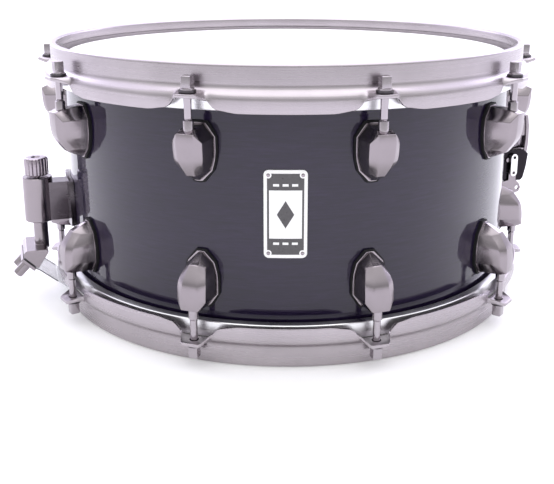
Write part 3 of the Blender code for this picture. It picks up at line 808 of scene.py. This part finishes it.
def build_lugs_and_rods():
    lug, gasket, nut = lug_mesh(), gasket_mesh(), nut_mesh()
    screws, rod = inner_screws_mesh(), rod_mesh()
    for side, flip in (("top", False), ("bottom", True)):
        for i in range(LUG_COUNT):
            angle = LUG_FIRST + i * LUG_PITCH
            tag = "%s_%02d" % (side, i + 1)
            for source, name, body, slot, node in (
                    (lug, "lug_casting_", "drum", "black_nickel", "lug_" + tag),
                    (gasket, "lug_gasket_", "drum", None, None),
                    (nut, "swivel_nut_", "drum", "rod_steel", None),
                    (screws, "lug_screws_", "drum", None, None),
                    (rod, "key_rod_", "tension_rod_" + tag, "rod_steel", "tension_rod_" + tag)):
                obj = source.copy()
                obj.name = name + tag
                bpy.context.scene.collection.objects.link(obj)
                place(obj, angle, flip, ROD_CIRCLE if source is rod else None)
                part_of(obj, body, slot, *([node] if node else []))
    for source in (lug, gasket, nut, screws, rod):
        bpy.data.objects.remove(source)


# Badge ---------------------------------------------------------------------------------

def build_badge():
    """The wrapped plate, a generic print on it, and four small rivets on white seats."""
    low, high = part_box("badge")
    half_w = (high.x - low.x) / 2 / MM
    half_h = (high.z - low.z) / 2 / MM
    z0 = (high.z + low.z) / 2 / MM
    outer = 178.0
    base = wrapped("badge_plate", 176.75, outer, corner_columns(half_w, half_h, 3.2, z0, 6, 8),
                   WHITE, edge=0.25)
    prints = []

    def panel(x0, x1, z_low, z_high, lift, material, cols=6):
        xs = [x0 + (x1 - x0) * k / cols for k in range(cols + 1)]
        rows = [(x, z_low, z_high) for x in xs]
        prints.append(wrapped("print", outer - 0.3, outer + lift, rows, material))

    w, h = half_w - 2.1, half_h - 2.3
    panel(-w, w, z0 - h, z0 + h, 0.04, INK, 10)
    panel(-w + 1.3, w - 1.3, z0 - 16.0, z0 + 16.0, 0.08, WHITE, 8)
    # a plain upright lozenge in the middle of the window, and three dashes above and below it
    lozenge = []
    for k in range(-4, 5):
        reach = 0.1 + 9.0 * (1 - abs(k) / 4)
        lozenge.append((5.5 * k / 4, z0 - reach, z0 + reach))
    prints.append(wrapped("print", outer - 0.3, outer + 0.12, lozenge, INK))
    for z in (z0 - 19.4, z0 + 19.4):
        for x in (-6.0, 0.0, 6.0):
            panel(x - 1.9, x + 1.9, z - 0.8, z + 0.8, 0.08, WHITE, 2)
    badge = join("badge_shield", [base] + prints)
    part_of(place(badge, 0.0), "drum", "badge_plate", "badge")
    rivets = []
    for sx in (-1, 1):
        for sz in (-1, 1):
            s, z = sx * (half_w - 2.9), z0 + sz * (half_h - 3.3)
            a = s / outer
            centre = (outer * math.cos(a), outer * math.sin(a), z)
            axis = (math.cos(a), math.sin(a), 0)
            rivets.append(lathe("seat", [(-0.4, 2.1), (0.18, 2.1), (0.24, 1.95)], 24, WHITE,
                                centre, axis))
            rivets.append(lathe("rivet", [(0.0, 1.25), (0.42, 1.2), (0.62, 0.95), (0.68, 0.5)],
                                20, NICKEL, centre, axis))
    part_of(place(join("badge_rivets", rivets), 0.0), "drum")


# Butt, strainer and snares ---------------------------------------------------------------

FACE_START = Vector((202.6, 25.4))
FACE_ALONG = Vector((1.0, 1.0)).normalized()
FACE_OUT = Vector((1.0, -1.0)).normalized()


def on_face(along, out):
    return tuple(FACE_START + FACE_ALONG * along + FACE_OUT * out)


def knob(name, x, rows, material, flutes, sides_each, depth):
    """A knurled knob; rows list (z, radius, knurl share)."""
    sides = flutes * sides_each
    shares = [row[2] for row in rows]

    def wave(row, a):
        phase = (a * flutes / (2 * math.pi)) % 1.0
        groove = max(0.0, 1 - abs(phase - 0.5) * 5.0)
        return 1 - depth * shares[row] * groove
    profile = [(z, r) for z, r, _ in rows]
    return lathe(name, profile, sides, material, (x, 0, 0), (0, 0, 1), 28.0, wave)


def strap_outer(name, angle, over=0.0, up=0.0):
    """The strap from the hoop's gate up under the clamp plate, with black strips along its cut
    edges as painted shade.
    """
    path = [(201.0, 23.9), (202.5, 24.7), on_face(0.9, 0.55), on_face(5.0, 0.55),
            on_face(12.6, 0.55)]
    path = [(x + over, z + up) for x, z in path]
    path = [(191.9, 16.8), (196.6 + over / 2, 20.4 + up / 2)] + path
    parts = [strip(name, path, STRAP_THICKNESS, STRAP_HALF_WIDTH - 0.4, STRAP, 8)]
    # black rubber strips along both edges: painted shade at the clear strap's cut edges
    for sign in (-1, 1):
        rim = strip("rim", path, STRAP_THICKNESS + 0.02, 0.38, RUBBER, 1)
        side = sign * (STRAP_HALF_WIDTH - 0.2)
        rim.data.transform(Matrix.Translation((0, side * MM, 0)))
        parts.append(rim)
    return place(join(name, parts), angle)


def build_butt():
    """The butt's housing, thumb wheel, sliding block, clamp and strap."""
    housing = refined("butt_bracket", "butt_housing", NICKEL, 0.5)
    housing.data.materials.append(PAINTED_SHADE_PLATING)
    outward = Vector(around(BUTT_ANGLE, 1.0)).to_2d().normalized()
    # faces nearer the shell than BUTT_ARM_FROM (the arm and the plate) take the darker plating as
    # painted shade
    for face in housing.data.polygons:
        if face.center.to_2d().dot(outward) < BUTT_ARM_FROM * MM:
            face.material_index = 1
    part_of(housing, "drum", "black_nickel", "butt_bracket")
    rows = [(70.0, 1.9, 0)]
    z = 70.4
    while z < 95.4:
        rows += [(z, 2.2, 0), (z + 0.5, 1.9, 0)]
        z += 1.0
    rows += [(98.6, 2.2, 0), (98.62, 7.2, 0), (99.0, 8.4, 0), (99.5, 8.85, 0.4), (100.0, 9.0, 1),
             (111.2, 9.0, 1), (111.9, 8.7, 0.5), (112.4, 8.1, 0), (112.6, 7.4, 0),
             (112.55, 3.6, 0), (111.8, 3.1, 0)]
    top = knob("butt_thumb_wheel", BUTT_AXIS, rows, KNURL, 18, 6, 0.10)
    part_of(place(top, BUTT_ANGLE), "butt_knob", "knurled_nickel", "butt_knob")
    for node, name, width in (("butt_piston", "butt_slider", 0.4),
                              ("butt_clamp", "butt_clamp_bar", 0.3)):
        part_of(refined(node, name, NICKEL, width), "butt_piston", "black_nickel", node)
    strap = strap_outer("butt_strap", BUTT_ANGLE, BUTT_CLAMP_OVER, BUTT_CLAMP_UP)
    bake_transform(strap)
    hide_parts("strap_butt")


def build_strainer():
    """The throw-off's frame, lever, fine-tension knob, link, carriage and strap."""
    for node, name, material, width, slot in (
            ("strainer_body", "strainer_frame", DARK, 0.35, "dark_nickel"),
            ("strainer_lever", "strainer_handle", NICKEL, 0.4, "black_nickel")):
        body = "drum" if node == "strainer_body" else node
        part_of(refined(node, name, material, width), body, slot, node)
    rows = [(93.2, 4.0, 0), (93.5, 4.6, 0.3), (93.9, 4.9, 1), (102.8, 4.9, 1), (103.3, 4.6, 0.3),
            (103.65, 4.0, 0), (103.7, 1.7, 0), (111.6, 1.7, 0)]
    small = knob("strainer_thumb_wheel", 217.6, rows, KNURL, 20, 5, 0.09)
    part_of(place(small, STRAINER_ANGLE), "strainer_knob", "knurled_nickel", "strainer_knob")
    for node, name, material, width in (("strainer_link", "strainer_side_link", BRIGHT, 0.2),
                                        ("strainer_carriage", "strainer_slider", NICKEL, 0.35)):
        part_of(refined(node, name, material, width), node, "black_nickel", node)
    strap = strap_outer("strainer_strap", STRAINER_ANGLE)
    part_of(strap, "strainer_carriage", "strap_plastic", "strap_strainer")


def strand_mesh(length, radius, step):
    rows = int(length / step)
    sides = 6
    verts, faces = [], []
    for i in range(rows):
        r = radius if i % 2 else radius * 0.72
        for j in range(sides):
            a = 2 * math.pi * j / sides
            x = -length / 2 + (i + 2 * j / sides) * step
            verts.append((x, r * math.cos(a), r * math.sin(a)))
    for i in range(rows - 3):
        for j in range(sides):
            a, b = (i, j), (i + 1, j)
            c, d = ((i + 1, j + 1), (i, j + 1)) if j + 1 < sides else ((i + 3, 0), (i + 2, 0))
            faces.append([p * sides + q for p, q in (a, b, c, d)])
    return verts, faces


def build_snares():
    half = STRAND_PITCH * (STRAND_COUNT - 1) / 2
    verts, faces = strand_mesh(299.0, 0.8, 0.62)
    parts = []
    all_verts, all_faces = [], []
    for i in range(STRAND_COUNT):
        y = -half + i * STRAND_PITCH
        base = len(all_verts)
        all_verts += [(a, b + y, c + STRAND_Z) for a, b, c in verts]
        all_faces += [[base + v for v in f] for f in faces]
    parts.append(to_object("strands", all_verts, all_faces, STEEL, 60.0, clean=False))
    for sign in (-1, 1):
        lo, hi = sorted((sign * 148.0, sign * 160.0))
        wide = half + 1.4
        outline = rounded([(lo, -wide), (hi, -wide), (hi, wide), (lo, wide)], [1.5] * 4, 4)
        end = stacked("end_plate", [[(x, y, z) for x, y in outline] for z in (7.9, 8.9)], STEEL)
        parts.append(bevel(end, 0.2, 2, 40))
        run = [(152.0, 8.25), (160.0, 8.1), (172.5, 8.3), (179.5, 9.2), (185.4, 11.7),
               (191.5, 16.4)]
        run = [(sign * x, z) for x, z in run]
        parts.append(strip("end_strap", run, STRAP_THICKNESS, STRAP_HALF_WIDTH, STRAP, 6))
    snares = join("snare_strands", parts, 50.0)
    part_of(place(snares, STRAINER_ANGLE), "snare_wires", "snare_steel", "snare_wires")


build_shell()
build_head("batter_film", "batter_head", False, COATED, "coated_film")
build_head("snare_film", "snare_side_head", True, CLEAR, "clear_film")
build_flesh_hoop("batter_flesh_ring", "batter_flesh_hoop", False)
build_flesh_hoop("snare_flesh_ring", "snare_side_flesh_hoop", True)
build_hoop("batter_rim", "batter_hoop", False)
build_hoop("snare_rim", "snare_side_hoop", True)
build_lugs_and_rods()
build_badge()
build_butt()
build_strainer()
build_snares()


# Studio --------------------------------------------------------------------------------

def build_floor():
    f = Finish("studio_floor", (0.80, 0.80, 0.805), 0.6, 0.0)
    mottle = f.noise(3.0, 2.0, 0.5)
    f.colour(f.ramp(mottle, [(0.3, (0.785, 0.785, 0.79)), (0.7, (0.815, 0.815, 0.82))]))
    f.put("Emission Color", (1.0, 1.0, 1.0, 1.0))
    f.put("Emission Strength", 0.2)
    output = f.tree.nodes["Material Output"]
    mix = f.node("ShaderNodeMixShader")
    clear = f.node("ShaderNodeBsdfTransparent")
    geometry = f.node("ShaderNodeNewGeometry")
    f.link(geometry.outputs["Backfacing"], mix.inputs["Fac"])
    f.link(f.shader.outputs["BSDF"], mix.inputs[1])
    f.link(clear.outputs["BSDF"], mix.inputs[2])
    f.link(mix.outputs["Shader"], output.inputs["Surface"])
    mesh = bpy.data.meshes.new("studio_floor")
    radius, height = 9.0, -0.0004
    ring = []
    for degrees in range(0, 360, 10):
        a = math.radians(degrees)
        ring.append((radius * math.cos(a), radius * math.sin(a), height))
    mesh.from_pydata(ring, [], [list(range(len(ring)))])
    mesh.materials.append(f.material)
    floor = bpy.data.objects.new("studio_floor", mesh)
    bpy.context.scene.collection.objects.link(floor)


def soft_light(name, location, target, size, power, colour=(1, 1, 1)):
    data = bpy.data.lights.new(name, "AREA")
    data.shape = "RECTANGLE"
    data.size, data.size_y = size
    data.energy = power
    data.color = colour
    light = bpy.data.objects.new(name, data)
    light.location = location
    light.rotation_mode = "QUATERNION"
    light.rotation_quaternion = (Vector(target) - Vector(location)).to_track_quat("-Z", "Y")
    bpy.context.scene.collection.objects.link(light)


def halved(tree, source):
    """Math node that brings a direction's -1..1 component to a ramp's 0..1."""
    node = tree.nodes.new("ShaderNodeMath")
    node.operation = "MULTIPLY_ADD"
    node.inputs[1].default_value = 0.5
    node.inputs[2].default_value = 0.5
    tree.links.new(source, node.inputs[0])
    return node.outputs["Value"]


def build_studio():
    """The white surround, brighter behind the drum, with its soft lights and the camera."""
    scene = bpy.context.scene
    world = bpy.data.worlds.new("studio")
    scene.world = world
    world.use_nodes = True
    tree = world.node_tree
    background = tree.nodes["Background"]
    coords = tree.nodes.new("ShaderNodeTexCoord")
    split = tree.nodes.new("ShaderNodeSeparateXYZ")
    ramp = tree.nodes.new("ShaderNodeValToRGB")
    tree.links.new(coords.outputs["Generated"], split.inputs["Vector"])
    tree.links.new(halved(tree, split.outputs["Z"]), ramp.inputs["Fac"])
    around_room = tree.nodes.new("ShaderNodeValToRGB")
    tint = tree.nodes.new("ShaderNodeMix")
    tint.data_type, tint.blend_type = "RGBA", "MULTIPLY"
    tint.inputs["Factor"].default_value = 1.0
    tree.links.new(halved(tree, split.outputs["Y"]), around_room.inputs["Fac"])
    tree.links.new(ramp.outputs["Color"], tint.inputs[6])
    tree.links.new(around_room.outputs["Color"], tint.inputs[7])
    tree.links.new(tint.outputs[2], background.inputs["Color"])
    for element, (position, value) in zip(around_room.color_ramp.elements,
                                          [(0.40, (1.0, 1.0, 1.0)), (0.85, (2.1, 2.03, 2.35))]):
        element.position = position
        element.color = (*value, 1.0)
    stops = [(0.0, 0.50), (0.45, 0.55), (0.47, 1.05), (0.54, 0.98), (0.60, 0.62), (0.72, 0.92),
             (0.85, 1.30), (1.0, 1.5)]
    while len(ramp.color_ramp.elements) < len(stops):
        ramp.color_ramp.elements.new(0.5)
    for element, (position, value) in zip(ramp.color_ramp.elements, stops):
        element.position = position
        element.color = (value * 0.985, value * 0.985, value, 1.0)
    background.inputs["Strength"].default_value = 0.95
    soft_light("overhead", (0.0, -0.2, 1.6), (0, 0, 0.1), (1.8, 1.4), 8.0)
    for name, x, y, z, size, power, colour in (
            ("left_strip", -1.5, -0.55, 0.65, (0.7, 1.4), 0.5, (0.93, 0.93, 1.0)),
            ("right_strip", 1.5, -0.55, 0.65, (0.7, 1.4), 0.5, (0.93, 0.93, 1.0)),
            ("back_left", -1.2, 1.3, 0.8, (0.8, 1.1), 7.0, (0.86, 0.84, 1.0)),
            ("back_right", 1.2, 1.3, 0.8, (0.8, 1.1), 7.0, (0.86, 0.84, 1.0))):
        soft_light(name, (x, y, z), (0, 0, 0.1), size, power, colour)
    scene.view_settings.view_transform = "Standard"
    camera_data = bpy.data.cameras.new("camera")
    camera_data.sensor_width = 36.0
    camera_data.lens = CAMERA_LENS
    camera_data.shift_x, camera_data.shift_y = CAMERA_SHIFT
    camera_data.clip_start, camera_data.clip_end = 0.02, 60.0
    camera = bpy.data.objects.new("camera", camera_data)
    camera.location = CAMERA_PLACE
    camera.rotation_euler = (math.radians(90.0 - CAMERA_DOWN), 0.0, math.radians(CAMERA_TURN))
    scene.collection.objects.link(camera)
    scene.camera = camera


build_floor()
build_studio()
